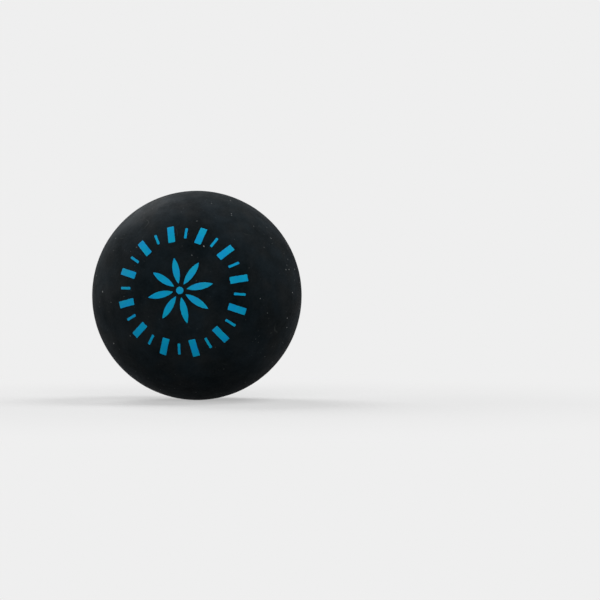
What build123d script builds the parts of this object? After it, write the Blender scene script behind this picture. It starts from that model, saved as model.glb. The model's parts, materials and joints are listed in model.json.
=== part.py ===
from build123d import *
import math
import os

# Hollow rubber squash ball, in millimetres.
# The origin is the centre of the ball and +Z is up.
# The print faces -Y, the speed dot faces +Y, and the half shells are joined at the plane Y = 0.

# Ball
ball_diameter = 40.0
wall_thickness = 5.2

# Seam: cement between the rims, in the chamfers at their inner edges, and proud of them inside
cement_thickness = 0.15
rim_chamfer = 0.6
bead_height = 0.4

# Stamping: one line through the centre carries the print in front and the speed dot behind.
# It is tilted up from -Y by this many degrees.
stamp_tilt = 2.5

# Print: flat artwork wrapped on the ball, with its widths as seen along that line
ink_thickness = 0.04
print_diameter = 24.4
print_turn = 12.0
bar_pairs = 12
bold_bar_length = 3.1
bold_bar_width = 1.3
thin_bar_length = 2.0
thin_bar_width = 0.5
petal_count = 8
petal_length = 4.9
petal_width = 1.3
rosette_eye_diameter = 1.4
rosette_gap = 0.55

# Speed dot: a drop of paint, thickest in the middle
dot_width = 2.5
dot_height = 2.8
dot_thickness = 0.1
dot_edge_thickness = 0.03

# Shared sizes that follow from the ones above
ball_radius = ball_diameter / 2
cavity_radius = ball_radius - wall_thickness
rim_y = cement_thickness / 2
chamfer_y = rim_y + rim_chamfer
rim_inner_radius = math.sqrt(cavity_radius**2 - rim_y**2) + rim_chamfer
stamp_plane = Rot(X=-stamp_tilt) * Plane.XZ


def angle_at(height, radius):
    """The angle from the seam plane, in degrees, of a point on a sphere at this height over it."""
    return math.degrees(math.asin(height / radius))


def make_half_shell(side):
    """One moulded half of the ball, with a flat rim and a chamfer inside it. side is -1 or 1 along Y."""
    outer_start = angle_at(rim_y, ball_radius)
    inner_start = angle_at(chamfer_y, cavity_radius)
    outer = CenterArc((0, 0), ball_radius, side * outer_start, side * (90 - outer_start))
    inner = CenterArc((0, 0), cavity_radius, side * inner_start, side * (90 - inner_start))
    rim_inner_edge = (rim_inner_radius, side * rim_y)
    at_the_pole = Line(outer @ 1, inner @ 1)
    chamfer = Line(inner @ 0, rim_inner_edge)
    rim = Line(rim_inner_edge, outer @ 0)
    return revolve(make_face([outer, at_the_pole, inner, chamfer, rim]), axis=Axis.Y)


def make_seam_cement():
    """The cement film, which fills the chamfers and bulges into the cavity as a bead."""
    edge_angle = angle_at(rim_y, ball_radius)
    chamfer_radius = math.sqrt(cavity_radius**2 - chamfer_y**2)
    outside = CenterArc((0, 0), ball_radius, -edge_angle, 2 * edge_angle)
    rear_rim = Line(outside @ 1, (rim_inner_radius, rim_y))
    rear_chamfer = Line(rear_rim @ 1, (chamfer_radius, chamfer_y))
    bead_top = (cavity_radius - bead_height, 0)
    bead = ThreePointArc(rear_chamfer @ 1, bead_top, (chamfer_radius, -chamfer_y))
    front_chamfer = Line(bead @ 1, (rim_inner_radius, -rim_y))
    front_rim = Line(front_chamfer @ 1, outside @ 0)
    profile = [outside, rear_rim, rear_chamfer, bead, front_chamfer, front_rim]
    return revolve(make_face(profile), axis=Axis.Y)


def wrap_on_ball(shapes):
    """Ink islands on the front of the ball, one for each flat shape, as a pad presses them on."""
    ball = Sphere(ball_radius)
    inked_ball = Sphere(ball_radius + ink_thickness)
    islands = []
    for shape in shapes:
        column = extrude(stamp_plane * shape, amount=ball_diameter)
        islands += ((column & inked_ball) - ball).solids()
    return Compound(islands)


def ring_of(shape, radius, count, first_angle):
    """Copies of a flat shape round the middle of the print, each with its X axis pointing outward."""
    return [place * shape for place in PolarLocations(radius, count, first_angle)]


def make_bold_bars():
    """Wide radial bars that reach the edge of the print."""
    bar = Rectangle(bold_bar_length, bold_bar_width)
    middle_radius = (print_diameter - bold_bar_length) / 2
    return wrap_on_ball(ring_of(bar, middle_radius, bar_pairs, print_turn))


def make_thin_bars():
    """Narrow radial bars, one between each two wide ones and centred on the same ring."""
    bar = Rectangle(thin_bar_length, thin_bar_width)
    middle_radius = (print_diameter - bold_bar_length) / 2
    half_step = 180 / bar_pairs
    return wrap_on_ball(ring_of(bar, middle_radius, bar_pairs, print_turn + half_step))


def make_rosette():
    """Leaf-shaped petals round a small eye in the middle of the print."""
    upper = ThreePointArc((-petal_length / 2, 0), (0, petal_width / 2), (petal_length / 2, 0))
    lower = ThreePointArc(upper @ 1, (0, -petal_width / 2), upper @ 0)
    petal = make_face([upper, lower])
    middle_radius = rosette_eye_diameter / 2 + rosette_gap + petal_length / 2
    petals = ring_of(petal, middle_radius, petal_count, print_turn)
    return wrap_on_ball(petals + [Circle(rosette_eye_diameter / 2)])


def make_speed_dot():
    """A low drop of paint opposite the print. Its two thicknesses give the radius of its domed top."""
    edge_radius = dot_height / 2
    top = ball_radius + dot_thickness
    edge = math.sqrt(ball_radius**2 - edge_radius**2) + dot_edge_thickness
    rise = top - edge
    dome_radius = (edge_radius**2 + rise**2) / (2 * rise)
    dome = stamp_plane.offset(dome_radius - top) * Sphere(dome_radius)
    outline = stamp_plane * Ellipse(dot_width / 2, dot_height / 2)
    return (extrude(outline, amount=-ball_diameter) & dome) - Sphere(ball_radius)


nodes = {
    "front_half_shell": make_half_shell(-1),
    "rear_half_shell": make_half_shell(1),
    "seam_cement": make_seam_cement(),
    "print_bold_bars": make_bold_bars(),
    "print_thin_bars": make_thin_bars(),
    "print_rosette": make_rosette(),
    "speed_dot": make_speed_dot(),
}

os.makedirs("parts", exist_ok=True)
for name, shape in nodes.items():
    export_step(shape, f"parts/{name}.step")
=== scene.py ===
import json
import math
import random

import bmesh
import bpy
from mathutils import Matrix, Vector, noise
from mathutils.kdtree import KDTree


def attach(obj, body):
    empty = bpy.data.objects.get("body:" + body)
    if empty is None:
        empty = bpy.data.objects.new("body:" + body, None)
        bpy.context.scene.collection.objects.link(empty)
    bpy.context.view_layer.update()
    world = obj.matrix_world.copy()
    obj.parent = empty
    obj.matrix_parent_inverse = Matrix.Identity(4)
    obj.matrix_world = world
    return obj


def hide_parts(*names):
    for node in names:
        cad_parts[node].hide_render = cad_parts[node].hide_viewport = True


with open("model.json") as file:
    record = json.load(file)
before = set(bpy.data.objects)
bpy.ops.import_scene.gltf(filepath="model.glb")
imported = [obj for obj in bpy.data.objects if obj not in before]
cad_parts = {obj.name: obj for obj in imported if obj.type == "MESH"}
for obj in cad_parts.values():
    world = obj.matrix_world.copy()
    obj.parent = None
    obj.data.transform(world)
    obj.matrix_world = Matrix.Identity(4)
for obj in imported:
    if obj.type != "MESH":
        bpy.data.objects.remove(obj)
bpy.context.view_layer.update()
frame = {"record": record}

# A hollow black rubber squash ball with a blue print in front and a blue speed dot behind.
# Lengths are in metres. The origin is the centre of the ball, +Z is up and the print faces -Y.
MM = 0.001

# Ball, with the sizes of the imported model
BALL_RADIUS = frame["record"]["mounts"][0]["dims"]["r_mm"] * MM
WALL = 5.2 * MM
CEMENT_THICKNESS = 0.15 * MM
RIM_CHAMFER = 0.6 * MM
BEAD_HEIGHT = 0.4 * MM
BEAD_STEPS = 12

# Sizes that follow from the ones above. RIM_ANGLE lies between a shell's pole and its rim's outer edge.
CAVITY_RADIUS = BALL_RADIUS - WALL
RIM_Y = CEMENT_THICKNESS / 2
RIM_ANGLE = math.acos(RIM_Y / BALL_RADIUS)
RIM_INNER_RADIUS = math.sqrt(CAVITY_RADIUS**2 - RIM_Y**2) + RIM_CHAMFER
CHAMFER_Y = RIM_Y + RIM_CHAMFER
CHAMFER_RADIUS = math.sqrt(CAVITY_RADIUS**2 - CHAMFER_Y**2)

# Spacing of the vertices along the outside, over the rim and in the cavity, and the angle of a sharp edge
OUTSIDE_SPACING = 0.2 * MM
RIM_SPACING = 0.45 * MM
CAVITY_SPACING = 0.7 * MM
SHARP_ANGLE = math.radians(40)

# Relief of the moulded and buffed outside, all of it below the true sphere
SWELL_SIZE = 13.0 * MM
SWELL_DEPTH = 0.03 * MM
GRAIN_SIZE = 1.3 * MM
GRAIN_DEPTH = 0.02 * MM
GRAIN_FALLOFF = 1.0
GRAIN_RATIO = 2.0
GRAIN_OCTAVES = 3
SEAM_DIP_WIDTH = 0.22 * MM
SEAM_DIP_DEPTH = 0.02 * MM
NICK_SEED = 7
NICK_COUNT = 70
NICK_RADIUS = 0.42 * MM
NICK_DEPTH = 0.02 * MM

# How deep in the seam the relief still shows, and how fast it fades there
RELIEF_REACH = WALL / 10
RELIEF_FADE_POWER = 9

# Stamping line, tilted up from -Y
STAMP_TILT = math.radians(2.5)
STAMP_RIGHT = Vector((1, 0, 0))
STAMP_UP = Vector((0, math.sin(STAMP_TILT), math.cos(STAMP_TILT)))
STAMP_OUT = Vector((0, -math.cos(STAMP_TILT), math.sin(STAMP_TILT)))

# Print, with bars and petals as (length, width)
PRINT_DIAMETER = 24.4 * MM
PRINT_TURN = math.radians(12)
BAR_PAIRS = 12
BOLD_BAR = (3.1 * MM, 1.3 * MM)
THIN_BAR = (2.0 * MM, 0.5 * MM)
BAR_CORNER = 0.14 * MM
BAR_CORNER_STEPS = 4
PETAL_COUNT = 8
PETAL = (4.9 * MM, 1.3 * MM)
EYE_DIAMETER = 1.4 * MM
ROSETTE_GAP = 0.55 * MM

# Ink: its layer, and its outline, which wanders inward more than outward
INK_THICKNESS = 0.034 * MM
INK_ROOT = 0.012 * MM
INK_SPACING = 0.16 * MM
INK_EDGE_SIZE = 0.35 * MM
INK_EDGE_WANDER = 0.045 * MM
INK_EDGE_INWARD = 0.5

# Section of an ink layer, as {share of the way out to its edge: share of its thickness}
INK_SECTION_SHARES = {0: 1, 0.2: 1, 0.4: 1, 0.6: 1, 0.75: 1, 0.87: 1.02, 0.94: 1.05, 0.98: 0.9, 1: 0.5}

# Speed dot, an egg shape that narrows upward to a small tail, with a bead of paint along its rim
DOT_WIDTH = 2.5 * MM
DOT_HEIGHT = 2.8 * MM
DOT_THICKNESS = 0.1 * MM
DOT_EDGE_THICKNESS = 0.03 * MM
DOT_DOME_SHARE = 0.9
DOT_NARROWING_SHARE = 0.07
DOT_TAIL = 0.06 * MM
DOT_TAIL_ANGLE = 0.25
DOT_BEAD_HEIGHT = 0.014 * MM
DOT_BEAD_PLACE_SHARE = 0.87
DOT_BEAD_WIDTH_SHARE = 0.08

# Camera, as the photograph shows the printed ball
IMAGE_SIDE = 600
BALL_PIXEL = (197.1, 295.4)
BALL_RADIUS_PIXELS = 104.7
CAMERA_LENS = 135
CAMERA_SENSOR = 36
CAMERA_TURN = math.radians(9.1)
CAMERA_CLIP_SHARE = 0.02

# Background of the photograph, as linear light
PALE = 0.863
WHITE = (1, 1, 1, 1)

# Studio light: an even part, and soft lamps as direction, side and light on the ball
AMBIENT = 0.12
LAMP_REACH = 0.65
LAMPS = {
    "upper_left_lamp": ((-0.53, 0.68, 0.84), 0.35, 0.96),
    "left_lamp": ((-0.95, 0.1, 0.2), 0.35, 0.42),
    "upper_right_lamp": ((0.45, 0.2, 0.85), 0.35, 0.7),
    "front_lamp": ((0.15, -1.0, 0.3), 0.5, 1.11),
}

# Floor: its grey for lamps, and its look where it is seen, shadowed near the ball and plain further out
FLOOR_SIDE = 6.0
FLOOR_NEAR = 0.03
FLOOR_FAR = 0.13
FLOOR_SEEN_GREY = 0.48
FLOOR_SHADOW_SHARE = 0.5
FLOOR_BOUNCE_GREY = 0.22

# A noise is (size of its grain, detail), its range is where it counts as 0 and as 1,
# and a bump is (height, strength)
NOISE_MIDDLE = 0.5
CLOUD_RANGE = (0.3, 0.7)

# Rubber, deep or hazy, where the haze is cool or warm. Hazy rubber is a little smoother.
RUBBER_DEEP = (0.0014, 0.0026, 0.0031)
RUBBER_COOL_HAZE = (0.006, 0.009, 0.0111)
RUBBER_WARM_HAZE = (0.0076, 0.009, 0.0097)
RUBBER_ROUGHNESS = (0.92, 0.68)
RUBBER_GLOSS = 0.025
RUBBER_GLOSS_TINT = (0.4, 0.72, 1.0)
RUBBER_SHEEN = 0.006
RUBBER_SHEEN_ROUGHNESS = 0.6
RUBBER_GRAIN_NOISE = (0.3 * MM, 4)
RUBBER_BUMP = (0.03 * MM, 0.7)

# Haze: noises with their range and share of it, and the shift that picks their part on the ball
HAZE_NOISES = (
    ((8.0 * MM, 4), (0.36, 0.68), 0.55),
    ((2.2 * MM, 5), (0.3, 0.75), 0.42),
    ((0.45 * MM, 3), (0.3, 0.7), 0.32),
)
HAZE_SHIFT = (-189 * MM, 7 * MM, 78 * MM)
HAZE_TINT_NOISE = (5.0 * MM, 2)
HAZE_TINT_RANGE = (0.4, 0.6)

# Dust and lint as (cell, radius), the share of their cells that hold a speck in front and behind,
# and the noise that makes their outlines uneven, as (size of its grain, shift)
DUST = (1.0 * MM, 0.19 * MM)
DUST_COLOUR = (0.26, 0.275, 0.27)
LINT = (0.5 * MM, 0.11 * MM)
LINT_COLOUR = (0.045, 0.049, 0.049)
DUST_SHARES = (0.08, 0.42)
SMALLEST_SPECK_SHARE = 0.45
FAINTEST_SPECK_SHARE = 0.12
SPECK_CORE_SHARE = 0.5
BRIGHT_SPECK_POWER = 2.2
SPECK_WARP = (0.4 * MM, 0.45 * MM)
CLUSTER_NOISE = (4.0 * MM, 2)
CLUSTER_RANGE = (0.44, 0.64)
CLUSTER_GAIN = (0.3, 2.6)

# Scuffs: the lines where one noise passes its middle, kept where another noise is high
SCUFF_LINE_NOISE = (10.0 * MM, 1)
SCUFF_SPREAD = 0.004
SCUFF_KEPT_NOISE = (2.5 * MM, 0)
SCUFF_KEPT_RANGE = (0.68, 0.76)
SCUFF_COLOUR = (0.02, 0.023, 0.023)

# Cement
CEMENT_COLOURS = ((0.002, 0.003, 0.0035), (0.007, 0.0085, 0.009))
CEMENT_CLOUD_NOISE = (1.5 * MM, 4)
CEMENT_ROUGHNESS = (0.62, 0.76)

# Ink, where there is less or more of it and where it leans to teal or to blue
INK_THIN_TEAL = (0.001, 0.205, 0.329)
INK_THIN_BLUE = (0.001, 0.185, 0.368)
INK_FULL_TEAL = (0.0015, 0.228, 0.367)
INK_FULL_BLUE = (0.0015, 0.206, 0.411)
INK_CLOUD_NOISE = (1.1 * MM, 4)
INK_TINT_NOISE = (1.8 * MM, 2)
INK_TINT_RANGE = (0.35, 0.65)
INK_GLOSS = 0.035
INK_ROUGHNESS = (0.5, 0.6)
INK_GRAIN_NOISE = (0.3 * MM, 3)
INK_BUMP = (0.01 * MM, 0.5)

# Paint of the dot. Its noise and its spots, as ((across, up), radius), are in halves of the dot's size.
# The low colour is lighter partly as painted light, for the light that the dot's lower edge catches
DOT_LOW_COLOUR_WITH_PAINTED_LIGHT = (0.003, 0.2, 0.53)
DOT_HIGH_COLOUR = (0.0015, 0.098, 0.3)
DOT_CLIMB_SHARE = 0.5
DOT_CLOUD_NOISE = (0.4, 3)
DOT_RIM_COLOUR = (0.006, 0.15, 0.37)
DOT_RIM_RANGE = (0.72, 0.9)
DOT_TEAL_COLOUR = (0.001, 0.14, 0.3)
DOT_TEAL_SPOT = ((-0.55, -0.05), 0.5)
DOT_DEEP_COLOUR = (0.0005, 0.05, 0.175)
DOT_DEEP_SPOT = ((-0.2, 0.32), 0.45)
DOT_GLOSS = 0.08
DOT_ROUGHNESS = (0.3, 0.45)
DOT_BUMP = (0.02 * MM, 0.4)


def make_camera():
    """A level camera beside the print, with the ball where the photograph has it."""
    pixels = CAMERA_LENS / CAMERA_SENSOR * IMAGE_SIDE
    distance = BALL_RADIUS / math.sin(math.atan(BALL_RADIUS_PIXELS / pixels))
    aside = math.atan((IMAGE_SIDE / 2 - BALL_PIXEL[0]) / pixels)
    lower = (IMAGE_SIDE / 2 - BALL_PIXEL[1]) / pixels * distance * math.cos(aside)
    data = bpy.data.cameras.new("camera")
    data.lens = CAMERA_LENS
    data.sensor_width = CAMERA_SENSOR
    data.clip_start = distance * CAMERA_CLIP_SHARE
    camera = bpy.data.objects.new("camera", data)
    camera.location = (distance * math.sin(CAMERA_TURN), -distance * math.cos(CAMERA_TURN), -lower)
    camera.rotation_euler = (math.pi / 2, 0, CAMERA_TURN - aside)
    bpy.context.scene.collection.objects.link(camera)
    bpy.context.scene.camera = camera


def new_material(name):
    """A material with an empty node tree, and its nodes and output."""
    material = bpy.data.materials.new(name)
    material.use_nodes = True
    nodes = material.node_tree.nodes
    nodes.clear()
    return material, nodes, nodes.new("ShaderNodeOutputMaterial")


def join(tree, *pairs):
    """Links each pair of an output and an input."""
    for output, entry in pairs:
        tree.links.new(output, entry)


def grey(level):
    """A colour without hue."""
    return (level, level, level, 1)


def math_node(nodes, operation, first, second):
    """A Math node of two sockets or numbers, and its result."""
    node = nodes.new("ShaderNodeMath")
    node.operation = operation
    for entry, value in zip(node.inputs, (first, second)):
        if isinstance(value, bpy.types.NodeSocket):
            node.id_data.links.new(value, entry)
        else:
            entry.default_value = value
    return node.outputs[0]


def range_node(nodes, value, low, high, to_low=0.0, to_high=1.0, smooth=False):
    """A Map Range node from low..high to to_low..to_high, and its result."""
    node = nodes.new("ShaderNodeMapRange")
    node.interpolation_type = "SMOOTHSTEP" if smooth else "LINEAR"
    for entry, number in zip(node.inputs[1:5], (low, high, to_low, to_high)):
        entry.default_value = number
    node.id_data.links.new(value, node.inputs[0])
    return node.outputs[0]


def colour_mix(nodes, factor, first, second):
    """A colour Mix node of two sockets or colours, and its result."""
    node = nodes.new("ShaderNodeMix")
    node.data_type = "RGBA"
    node.id_data.links.new(factor, node.inputs["Factor"])
    for entry, value in zip((node.inputs[6], node.inputs[7]), (first, second)):
        if isinstance(value, bpy.types.NodeSocket):
            node.id_data.links.new(value, entry)
        else:
            entry.default_value = (*value, 1)
    return node.outputs[2]


def noise_at(nodes, place, size, detail):
    """A noise of this grain size and detail, and its value."""
    node = nodes.new("ShaderNodeTexNoise")
    node.inputs["Scale"].default_value = 1 / size
    node.inputs["Detail"].default_value = detail
    node.id_data.links.new(place, node.inputs["Vector"])
    return node.outputs["Fac"]


def bump_node(nodes, height, distance, strength):
    """A bump of this height, and its normal."""
    node = nodes.new("ShaderNodeBump")
    node.inputs["Distance"].default_value = distance
    node.inputs["Strength"].default_value = strength
    node.id_data.links.new(height, node.inputs["Height"])
    return node.outputs["Normal"]


def new_shader(material, output, gloss, colour, roughness):
    """A Principled shader with this gloss, colour and roughness, joined to the material's output."""
    shader = material.node_tree.nodes.new("ShaderNodeBsdfPrincipled")
    shader.inputs["Specular IOR Level"].default_value = gloss
    join(
        material.node_tree,
        (colour, shader.inputs["Base Color"]),
        (roughness, shader.inputs["Roughness"]),
        (shader.outputs[0], output.inputs[0]),
    )
    return shader


def seen_ray(nodes):
    """1 for the rays that show the background: camera, glossy and transmission rays."""
    path = nodes.new("ShaderNodeLightPath")
    straight = math_node(nodes, "MAXIMUM", path.outputs["Is Camera Ray"], path.outputs["Is Glossy Ray"])
    return math_node(nodes, "MAXIMUM", straight, path.outputs["Is Transmission Ray"])


def make_world():
    """A pale surround to the eye and in reflections, with a weaker even light from it."""
    world = bpy.data.worlds.new("studio")
    world.use_nodes = True
    tree = world.node_tree
    tree.nodes.clear()
    output = tree.nodes.new("ShaderNodeOutputWorld")
    light = tree.nodes.new("ShaderNodeBackground")
    light.inputs["Strength"].default_value = AMBIENT
    light.inputs["Color"].default_value = WHITE
    pale = tree.nodes.new("ShaderNodeBackground")
    pale.inputs["Strength"].default_value = PALE
    pale.inputs["Color"].default_value = WHITE
    mix = tree.nodes.new("ShaderNodeMixShader")
    join(
        tree,
        (seen_ray(tree.nodes), mix.inputs[0]),
        (light.outputs[0], mix.inputs[1]),
        (pale.outputs[0], mix.inputs[2]),
        (mix.outputs[0], output.inputs[0]),
    )
    bpy.context.scene.world = world


def floor_material():
    """Pale and shadowed near the ball, and as pale as the surround further out."""
    material, nodes, output = new_material("pale_floor")
    tree = material.node_tree
    place = nodes.new("ShaderNodeTexCoord")
    reach = nodes.new("ShaderNodeVectorMath")
    reach.operation = "LENGTH"
    join(tree, (place.outputs["Object"], reach.inputs[0]))
    near = nodes.new("ShaderNodeBsdfDiffuse")
    near.inputs["Color"].default_value = grey(FLOOR_SEEN_GREY)
    far = nodes.new("ShaderNodeEmission")
    far.inputs["Strength"].default_value = PALE
    bounce = nodes.new("ShaderNodeBsdfDiffuse")
    bounce.inputs["Color"].default_value = grey(FLOOR_BOUNCE_GREY)
    plain = 1 - FLOOR_SHADOW_SHARE
    fade = range_node(nodes, reach.outputs["Value"], FLOOR_NEAR, FLOOR_FAR, plain, 1, smooth=True)
    seen = nodes.new("ShaderNodeMixShader")
    mix = nodes.new("ShaderNodeMixShader")
    join(
        tree,
        (fade, seen.inputs[0]),
        (near.outputs[0], seen.inputs[1]),
        (far.outputs[0], seen.inputs[2]),
        (seen_ray(nodes), mix.inputs[0]),
        (bounce.outputs[0], mix.inputs[1]),
        (seen.outputs[0], mix.inputs[2]),
        (mix.outputs[0], output.inputs[0]),
    )
    return material


def make_floor():
    """The floor that the ball rests on."""
    half = FLOOR_SIDE / 2
    corners = [(x * half, y * half, -BALL_RADIUS) for x, y in ((-1, -1), (1, -1), (1, 1), (-1, 1))]
    mesh = bpy.data.meshes.new("floor")
    mesh.from_pydata(corners, [], [(0, 1, 2, 3)])
    floor = bpy.data.objects.new("floor", mesh)
    bpy.context.scene.collection.objects.link(floor)
    mesh.materials.append(floor_material())


def make_lamps():
    """Soft lamps that all face the ball. A lamp lights what faces it by its energy / (pi * reach)^2."""
    for name, (direction, side, light) in LAMPS.items():
        data = bpy.data.lights.new(name, "AREA")
        data.size = side
        data.energy = light * math.pi**2 * LAMP_REACH**2
        lamp = bpy.data.objects.new(name, data)
        lamp.location = Vector(direction).normalized() * LAMP_REACH
        lamp.rotation_euler = (-Vector(direction)).to_track_quat("-Z", "Y").to_euler()
        bpy.context.scene.collection.objects.link(lamp)


def scatter_nicks():
    """Small dents of the moulding, at random places over the ball."""
    chance = random.Random(NICK_SEED)
    tree = KDTree(NICK_COUNT)
    for index in range(NICK_COUNT):
        spot = Vector((chance.gauss(0, 1), chance.gauss(0, 1), chance.gauss(0, 1)))
        tree.insert(spot.normalized() * BALL_RADIUS, index)
    tree.balance()
    return tree


nicks = scatter_nicks()


def relief(point):
    """How far the real outside lies below the true sphere at this point."""
    swell = noise.noise(point / SWELL_SIZE)
    grain = noise.fractal(point / GRAIN_SIZE, GRAIN_FALLOFF, GRAIN_RATIO, GRAIN_OCTAVES)
    depth = SWELL_DEPTH * (1 + swell) / 2 + GRAIN_DEPTH * (1 + grain) / 2
    depth += SEAM_DIP_DEPTH * math.exp(-((point.y / SEAM_DIP_WIDTH) ** 2))
    distance = nicks.find(point)[2]
    if distance < NICK_RADIUS:
        depth += NICK_DEPTH * (1 - (distance / NICK_RADIUS) ** 2) ** 2
    return max(depth, 0)


def sink_outside(points):
    """Lowers the points on the outside of the ball by the relief, and those deeper in the seam by less."""
    for index, point in enumerate(points):
        if point.length > BALL_RADIUS - RELIEF_REACH:
            fade = (point.length / BALL_RADIUS) ** RELIEF_FADE_POWER
            points[index] = point * (1 - relief(point) * fade / BALL_RADIUS)


def strip(first, second):
    """Triangles between two rings of vertices, which may differ in number."""
    a, b = 0, 0
    faces = []
    while a < len(first) or b < len(second):
        if b == len(second) or (a < len(first) and (a + 1) * len(second) <= (b + 1) * len(first)):
            face = (first[a], first[(a + 1) % len(first)], second[b % len(second)])
            a += 1
        else:
            face = (first[a % len(first)], second[(b + 1) % len(second)], second[b])
            b += 1
        if len(set(face)) == len(face):
            faces.append(face)
    return faces


def new_piece(name, points, faces, material, nodes):
    """A closed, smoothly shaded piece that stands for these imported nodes."""
    mesh = bpy.data.meshes.new(name)
    mesh.from_pydata(points, [], faces)
    shape = bmesh.new()
    shape.from_mesh(mesh)
    bmesh.ops.recalc_face_normals(shape, faces=shape.faces)
    shape.to_mesh(mesh)
    shape.free()
    for polygon in mesh.polygons:
        polygon.use_smooth = True
    mesh.set_sharp_from_angle(angle=SHARP_ANGLE)
    mesh.materials.append(material)
    piece = bpy.data.objects.new(name, mesh)
    bpy.context.scene.collection.objects.link(piece)
    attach(piece, "root")
    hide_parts(*nodes)


def turned_body(profile, closed):
    """Points and faces of a body round the Y axis, through (radius, y, spacing) points of its profile."""
    points, rings = [], []
    for radius, y, spacing in profile:
        count = max(round(2 * math.pi * radius / spacing), 1)
        rings.append(range(len(points), len(points) + count))
        for step in range(count):
            angle = 2 * math.pi * step / count
            points.append(Vector((radius * math.cos(angle), y, radius * math.sin(angle))))
    following = rings[1:] + (rings[:1] if closed else [])
    faces = []
    for ring, next_ring in zip(rings, following):
        faces += strip(ring, next_ring)
    return points, faces


def arc(radius, start, end, spacing):
    """(radius, y, spacing) points of a sphere's profile. Angles are from the pole, in radians."""
    steps = max(round(abs(end - start) * radius / spacing), 1)
    angles = [start + (end - start) * step / steps for step in range(steps + 1)]
    return [(radius * math.sin(angle), radius * math.cos(angle), spacing) for angle in angles]


def line(start, end, spacing):
    """(radius, y, spacing) points between two ends of a straight profile line, without the ends."""
    steps = max(math.ceil(math.dist(start, end) / spacing), 1)
    between = [step / steps for step in range(1, steps)]
    return [(*Vector(start).lerp(Vector(end), share), spacing) for share in between]


def make_half_shell(name, node, side, material):
    """One moulded half of the ball. side is -1 or 1 along Y."""
    outside = arc(BALL_RADIUS, 0, RIM_ANGLE, OUTSIDE_SPACING)
    rim = line(outside[-1][:2], (RIM_INNER_RADIUS, RIM_Y), RIM_SPACING)
    rim_edge = [(RIM_INNER_RADIUS, RIM_Y, RIM_SPACING)]
    inside = arc(CAVITY_RADIUS, math.acos(CHAMFER_Y / CAVITY_RADIUS), 0, CAVITY_SPACING)
    profile = [(radius, side * y, spacing) for radius, y, spacing in outside + rim + rim_edge + inside]
    points, faces = turned_body(profile, False)
    sink_outside(points)
    new_piece(name, points, faces, material, [node])


def cement_bead():
    """(radius, y, spacing) points of the bead in the cavity, from the rear chamfer to the front one."""
    depth = BEAD_HEIGHT - (CAVITY_RADIUS - CHAMFER_RADIUS)
    points = []
    for step in range(BEAD_STEPS + 1):
        share = 1 - 2 * step / BEAD_STEPS
        points.append((CHAMFER_RADIUS - depth * (1 - share**2), CHAMFER_Y * share, RIM_SPACING))
    return points


def make_seam_cement(material):
    """The film between the rims, which fills their chamfers and bulges into the cavity."""
    outside = arc(BALL_RADIUS, math.pi - RIM_ANGLE, RIM_ANGLE, RIM_Y)
    rear_rim = line(outside[-1][:2], (RIM_INNER_RADIUS, RIM_Y), RIM_SPACING)
    rear_corner = [(RIM_INNER_RADIUS, RIM_Y, RIM_SPACING)]
    front_corner = [(RIM_INNER_RADIUS, -RIM_Y, RIM_SPACING)]
    front_rim = line((RIM_INNER_RADIUS, -RIM_Y), outside[0][:2], RIM_SPACING)
    profile = outside + rear_rim + rear_corner + cement_bead() + front_corner + front_rim
    points, faces = turned_body(profile, True)
    sink_outside(points)
    new_piece("seam_cement_film", points, faces, material, ["seam_cement"])


def on_ball(u, v, height, side):
    """The point over (u, v) of the stamp plane, this high over the ball. side is 1 in front, -1 behind."""
    rise = math.sqrt(BALL_RADIUS**2 - u**2 - v**2)
    point = STAMP_RIGHT * u + STAMP_UP * v + STAMP_OUT * (side * rise)
    return point * ((BALL_RADIUS - relief(point) + height) / BALL_RADIUS)


def spread(start, end, spacing):
    """Points from start up to but without end."""
    steps = max(math.ceil(math.dist(start, end) / spacing), 1)
    return [Vector(start).lerp(Vector(end), step / steps) for step in range(steps)]


def bar_outline(length, width):
    """A bar with rounded corners."""
    outline = []
    half_length, half_width = length / 2 - BAR_CORNER, width / 2 - BAR_CORNER
    for quarter, (x, y) in enumerate(((1, 1), (-1, 1), (-1, -1), (1, -1))):
        centre = Vector((x * half_length, y * half_width))
        for step in range(BAR_CORNER_STEPS + 1):
            angle = (quarter + step / BAR_CORNER_STEPS) * math.pi / 2
            outline.append(centre + BAR_CORNER * Vector((math.cos(angle), math.sin(angle))))
    full = []
    for point, following in zip(outline, outline[1:] + outline[:1]):
        full += spread(point, following, INK_SPACING)
    return full


def petal_outline(length, width):
    """A leaf between two arcs."""
    half_width = width / 2
    arc_radius = (length**2 / 4 + half_width**2) / width
    steps = round(length / INK_SPACING)
    upper = []
    for step in range(steps):
        x = length / 2 - length * step / steps
        upper.append(Vector((x, math.sqrt(arc_radius**2 - x**2) - arc_radius + half_width)))
    return upper + [-point for point in upper]


def disc_outline(diameter):
    """A round spot."""
    steps = round(math.pi * diameter / INK_SPACING)
    turns = [2 * math.pi * step / steps for step in range(steps)]
    return [diameter / 2 * Vector((math.cos(turn), math.sin(turn))) for turn in turns]


def egg_outline():
    """The dot's outline: an ellipse that narrows upward, with a small tail at its top."""
    outline = []
    for point in disc_outline(DOT_WIDTH):
        x, y = (point / point.length).to_tuple()
        tail = DOT_TAIL * math.exp(-((math.atan2(x, y) / DOT_TAIL_ANGLE) ** 2))
        across = x * (1 - DOT_NARROWING_SHARE * y) * DOT_WIDTH / 2
        outline.append(Vector((across, y * DOT_HEIGHT / 2 + tail)))
    return outline


def ring_of(outline, radius, count, first_angle):
    """(outline, centre) of copies round the middle of the print, each with its X axis pointing outward."""
    copies = []
    for index in range(count):
        angle = first_angle + 2 * math.pi * index / count
        x_axis = Vector((math.cos(angle), math.sin(angle)))
        y_axis = Vector((-x_axis.y, x_axis.x))
        centre = radius * x_axis
        copies.append(([centre + x_axis * point.x + y_axis * point.y for point in outline], centre))
    return copies


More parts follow.
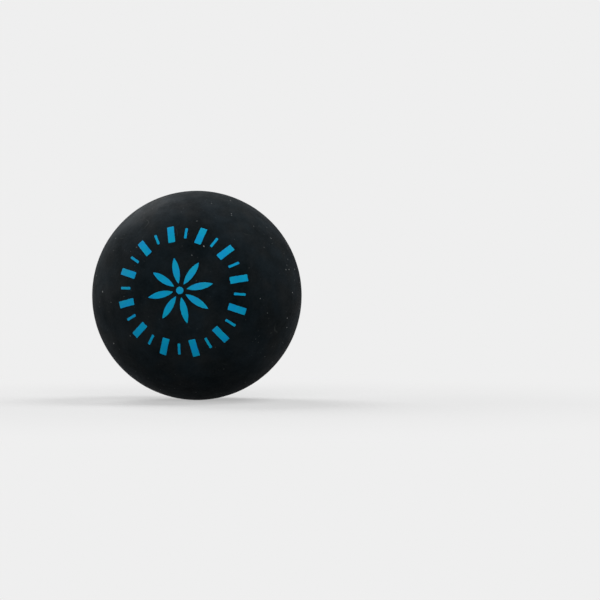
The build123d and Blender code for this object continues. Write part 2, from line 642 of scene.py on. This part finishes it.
def wandering(point, centre):
    """The point of an ink outline, moved in or out a little as real ink runs."""
    offset = point - centre
    wander = noise.noise(Vector((point.x, point.y, 0)) / INK_EDGE_SIZE) - INK_EDGE_INWARD
    return centre + offset * (1 + INK_EDGE_WANDER * wander / offset.length)


def ink_height(share):
    """Height of the stamped ink over the rubber: flat, a little fuller along its edge, then down."""
    return INK_THICKNESS * INK_SECTION_SHARES[share]


def dot_height(share):
    """Height of the dot's drop of paint, thickest in the middle."""
    if share == 1:
        return 0
    dome = (DOT_THICKNESS - DOT_EDGE_THICKNESS) * (1 - share**2) * DOT_DOME_SHARE
    bead = DOT_BEAD_HEIGHT * math.exp(-(((share - DOT_BEAD_PLACE_SHARE) / DOT_BEAD_WIDTH_SHARE) ** 2))
    return DOT_EDGE_THICKNESS + dome + bead


def layer(islands, height_at, side):
    """Points and faces of closed skins on the ball, one for each (outline, centre)."""
    shares = list(INK_SECTION_SHARES)
    top = [(share, height_at(share)) for share in shares]
    root = [(share, -INK_ROOT) for share in reversed(shares)]
    points, faces = [], []
    for outline, centre in islands:
        edge = [wandering(point, centre) for point in outline]
        rings = []
        for share, height in top + root:
            ring = [centre.lerp(point, share) for point in edge] if share else [centre]
            rings.append(range(len(points), len(points) + len(ring)))
            points += [on_ball(u, v, height, side) for u, v in ring]
        for ring, next_ring in zip(rings, rings[1:]):
            faces += strip(ring, next_ring)
    return points, faces


def make_print(material):
    """The ring of bold and thin bars and the rosette inside it."""
    ring_radius = (PRINT_DIAMETER - BOLD_BAR[0]) / 2
    petal_radius = EYE_DIAMETER / 2 + ROSETTE_GAP + PETAL[0] / 2
    half_step = math.pi / BAR_PAIRS
    bold = ring_of(bar_outline(*BOLD_BAR), ring_radius, BAR_PAIRS, PRINT_TURN)
    thin = ring_of(bar_outline(*THIN_BAR), ring_radius, BAR_PAIRS, PRINT_TURN + half_step)
    rosette = ring_of(petal_outline(*PETAL), petal_radius, PETAL_COUNT, PRINT_TURN)
    rosette.append((disc_outline(EYE_DIAMETER), Vector((0, 0))))
    for name, node, islands in (
        ("bold_bars_ink", "print_bold_bars", bold),
        ("thin_bars_ink", "print_thin_bars", thin),
        ("rosette_ink", "print_rosette", rosette),
    ):
        points, faces = layer(islands, ink_height, 1)
        new_piece(name, points, faces, material, [node])


def make_speed_dot(material):
    """The drop of paint on the rear of the ball."""
    points, faces = layer([(egg_outline(), Vector((0, 0)))], dot_height, -1)
    new_piece("speed_dot_paint", points, faces, material, ["speed_dot"])


def shifted(nodes, place, shift):
    """The place, moved by this much, so that a noise shows another part of its pattern."""
    node = nodes.new("ShaderNodeVectorMath")
    node.operation = "ADD"
    node.inputs[1].default_value = shift
    join(node.id_data, (place, node.inputs[0]))
    return node.outputs[0]


def warped(nodes, place, size, shift):
    """The place, moved about by a noise, so that what is drawn there gets an uneven outline."""
    node = nodes.new("ShaderNodeTexNoise")
    node.inputs["Scale"].default_value = 1 / size
    centred = nodes.new("ShaderNodeVectorMath")
    centred.operation = "SUBTRACT"
    centred.inputs[1].default_value = (NOISE_MIDDLE, NOISE_MIDDLE, NOISE_MIDDLE)
    moved = nodes.new("ShaderNodeVectorMath")
    moved.operation = "MULTIPLY_ADD"
    moved.inputs[1].default_value = (shift, shift, shift)
    join(
        node.id_data,
        (place, node.inputs["Vector"]),
        (node.outputs["Color"], centred.inputs[0]),
        (centred.outputs[0], moved.inputs[0]),
        (place, moved.inputs[2]),
    )
    return moved.outputs[0]


def haze_at(nodes, place):
    """How hazy the rubber is, fully so from 1 up: broad haze, mottle and fine flecks together."""
    total = None
    for grain, limits, share in HAZE_NOISES:
        part = range_node(nodes, noise_at(nodes, place, *grain), *limits, 0, share)
        total = math_node(nodes, "ADD", total, part) if total else part
    return total


def specks_at(nodes, place, cell, radius, chosen):
    """A mask of specks up to this radius: one in some cells, as many as the chosen share.

    They differ in size, and few are bright.
    """
    node = nodes.new("ShaderNodeTexVoronoi")
    node.inputs["Scale"].default_value = 1 / cell
    node.id_data.links.new(place, node.inputs["Vector"])
    split = nodes.new("ShaderNodeSeparateColor")
    node.id_data.links.new(node.outputs["Color"], split.inputs[0])
    size = range_node(nodes, split.outputs[2], 0, 1, SMALLEST_SPECK_SHARE, 1)
    distance = math_node(nodes, "DIVIDE", node.outputs["Distance"], size)
    spot = range_node(nodes, distance, radius / cell, radius / cell * SPECK_CORE_SHARE)
    shown = math_node(nodes, "LESS_THAN", split.outputs[0], chosen)
    skewed = math_node(nodes, "POWER", split.outputs[1], BRIGHT_SPECK_POWER)
    bright = range_node(nodes, skewed, 0, 1, FAINTEST_SPECK_SHARE, 1)
    return math_node(nodes, "MULTIPLY", math_node(nodes, "MULTIPLY", spot, shown), bright)


def dustiness(nodes, place):
    """The share of the dust's cells that hold a speck: more at the back, and most in clusters."""
    split = nodes.new("ShaderNodeSeparateXYZ")
    join(split.id_data, (place, split.inputs[0]))
    share = range_node(nodes, split.outputs["Y"], -BALL_RADIUS, BALL_RADIUS, *DUST_SHARES)
    cluster = range_node(nodes, noise_at(nodes, place, *CLUSTER_NOISE), *CLUSTER_RANGE, *CLUSTER_GAIN)
    return math_node(nodes, "MULTIPLY", share, cluster)


def scuffs_at(nodes, place):
    """A mask of short, thin, curved scuffs."""
    middle = math_node(nodes, "SUBTRACT", noise_at(nodes, place, *SCUFF_LINE_NOISE), NOISE_MIDDLE)
    away = math_node(nodes, "ABSOLUTE", middle, 0)
    on_line = range_node(nodes, away, SCUFF_SPREAD, 0)
    kept = range_node(nodes, noise_at(nodes, place, *SCUFF_KEPT_NOISE), *SCUFF_KEPT_RANGE)
    return math_node(nodes, "MULTIPLY", on_line, kept)


def rubber_material():
    """Buffed black rubber: mottled, hazy in patches, with a fine grain, scuffs and pale dust."""
    material, nodes, output = new_material("black_rubber")
    place = nodes.new("ShaderNodeTexCoord").outputs["Object"]
    haziness = haze_at(nodes, shifted(nodes, place, HAZE_SHIFT))
    tint = range_node(nodes, noise_at(nodes, place, *HAZE_TINT_NOISE), *HAZE_TINT_RANGE)
    haze = colour_mix(nodes, tint, RUBBER_COOL_HAZE, RUBBER_WARM_HAZE)
    colour = colour_mix(nodes, haziness, RUBBER_DEEP, haze)
    uneven = warped(nodes, place, *SPECK_WARP)
    dusty = dustiness(nodes, place)
    colour = colour_mix(nodes, scuffs_at(nodes, place), colour, SCUFF_COLOUR)
    colour = colour_mix(nodes, specks_at(nodes, uneven, *LINT, dusty), colour, LINT_COLOUR)
    colour = colour_mix(nodes, specks_at(nodes, uneven, *DUST, dusty), colour, DUST_COLOUR)
    roughness = range_node(nodes, haziness, 0, 1, *RUBBER_ROUGHNESS)
    shader = new_shader(material, output, RUBBER_GLOSS, colour, roughness)
    shader.inputs["Specular Tint"].default_value = (*RUBBER_GLOSS_TINT, 1)
    shader.inputs["Sheen Weight"].default_value = RUBBER_SHEEN
    shader.inputs["Sheen Roughness"].default_value = RUBBER_SHEEN_ROUGHNESS
    grain = bump_node(nodes, noise_at(nodes, place, *RUBBER_GRAIN_NOISE), *RUBBER_BUMP)
    join(material.node_tree, (grain, shader.inputs["Normal"]))
    return material


def cement_material():
    """Cured rubber cement, buffed with the rubber and a little deeper in colour."""
    material, nodes, output = new_material("rubber_cement")
    place = nodes.new("ShaderNodeTexCoord").outputs["Object"]
    cloud = noise_at(nodes, place, *CEMENT_CLOUD_NOISE)
    colour = colour_mix(nodes, cloud, *CEMENT_COLOURS)
    roughness = range_node(nodes, cloud, *CLOUD_RANGE, *CEMENT_ROUGHNESS)
    shader = new_shader(material, output, RUBBER_GLOSS, colour, roughness)
    shader.inputs["Specular Tint"].default_value = (*RUBBER_GLOSS_TINT, 1)
    return material


def ink_material():
    """Stamped blue ink with a fine grain, and faint clouds of more or less ink and of hue."""
    material, nodes, output = new_material("blue_ink")
    place = nodes.new("ShaderNodeTexCoord").outputs["Object"]
    cloud = range_node(nodes, noise_at(nodes, place, *INK_CLOUD_NOISE), *CLOUD_RANGE)
    tint = range_node(nodes, noise_at(nodes, place, *INK_TINT_NOISE), *INK_TINT_RANGE)
    thin = colour_mix(nodes, tint, INK_THIN_TEAL, INK_THIN_BLUE)
    full = colour_mix(nodes, tint, INK_FULL_TEAL, INK_FULL_BLUE)
    colour = colour_mix(nodes, cloud, thin, full)
    roughness = range_node(nodes, cloud, 0, 1, *INK_ROUGHNESS)
    shader = new_shader(material, output, INK_GLOSS, colour, roughness)
    grain = bump_node(nodes, noise_at(nodes, place, *INK_GRAIN_NOISE), *INK_BUMP)
    join(material.node_tree, (grain, shader.inputs["Normal"]))
    return material


def dot_place(nodes):
    """The place on the dot: X and Z run from -1 to 1 over its width and height, with X to its left."""
    place = nodes.new("ShaderNodeMapping")
    place.vector_type = "TEXTURE"
    place.inputs["Rotation"].default_value = (-STAMP_TILT, 0, 0)
    place.inputs["Scale"].default_value = (DOT_WIDTH / 2, 1, DOT_HEIGHT / 2)
    join(place.id_data, (nodes.new("ShaderNodeTexCoord").outputs["Object"], place.inputs[0]))
    return place.outputs[0]


def near_spot(nodes, place, spot, radius):
    """1 at a spot of the dot, fading to 0 at this radius around it."""
    distance = nodes.new("ShaderNodeVectorMath")
    distance.operation = "DISTANCE"
    distance.inputs[1].default_value = (spot[0], 0, spot[1])
    join(distance.id_data, (place, distance.inputs[0]))
    return range_node(nodes, distance.outputs["Value"], radius, 0, smooth=True)


def dot_material():
    """Blue paint of the dot: deeper at its top and in one patch, teal at one side, even along its rim; its
    lighter lower part is partly painted light.
    """
    material, nodes, output = new_material("blue_dot_paint")
    place = dot_place(nodes)
    split = nodes.new("ShaderNodeSeparateXYZ")
    reach = nodes.new("ShaderNodeVectorMath")
    reach.operation = "LENGTH"
    join(material.node_tree, (place, split.inputs[0]), (place, reach.inputs[0]))
    cloud = noise_at(nodes, place, *DOT_CLOUD_NOISE)
    # Lighter towards the bottom: partly the paint, partly painted light for the lower edge catching light
    climb_with_painted_light = range_node(nodes, split.outputs["Z"], -1, 1, -DOT_CLIMB_SHARE, DOT_CLIMB_SHARE)
    colour = colour_mix(nodes, math_node(nodes, "ADD", climb_with_painted_light, cloud), DOT_LOW_COLOUR_WITH_PAINTED_LIGHT, DOT_HIGH_COLOUR)
    rim = range_node(nodes, reach.outputs["Value"], *DOT_RIM_RANGE, smooth=True)
    colour = colour_mix(nodes, rim, colour, DOT_RIM_COLOUR)
    colour = colour_mix(nodes, near_spot(nodes, place, *DOT_TEAL_SPOT), colour, DOT_TEAL_COLOUR)
    colour = colour_mix(nodes, near_spot(nodes, place, *DOT_DEEP_SPOT), colour, DOT_DEEP_COLOUR)
    roughness = range_node(nodes, cloud, *CLOUD_RANGE, *DOT_ROUGHNESS)
    shader = new_shader(material, output, DOT_GLOSS, colour, roughness)
    join(material.node_tree, (bump_node(nodes, cloud, *DOT_BUMP), shader.inputs["Normal"]))
    return material


make_camera()
make_world()
make_floor()
make_lamps()
rubber = rubber_material()
make_half_shell("front_shell_rubber", "front_half_shell", -1, rubber)
make_half_shell("rear_shell_rubber", "rear_half_shell", 1, rubber)
make_seam_cement(cement_material())
make_print(ink_material())
make_speed_dot(dot_material())

bpy.context.scene.view_settings.view_transform = "Standard"
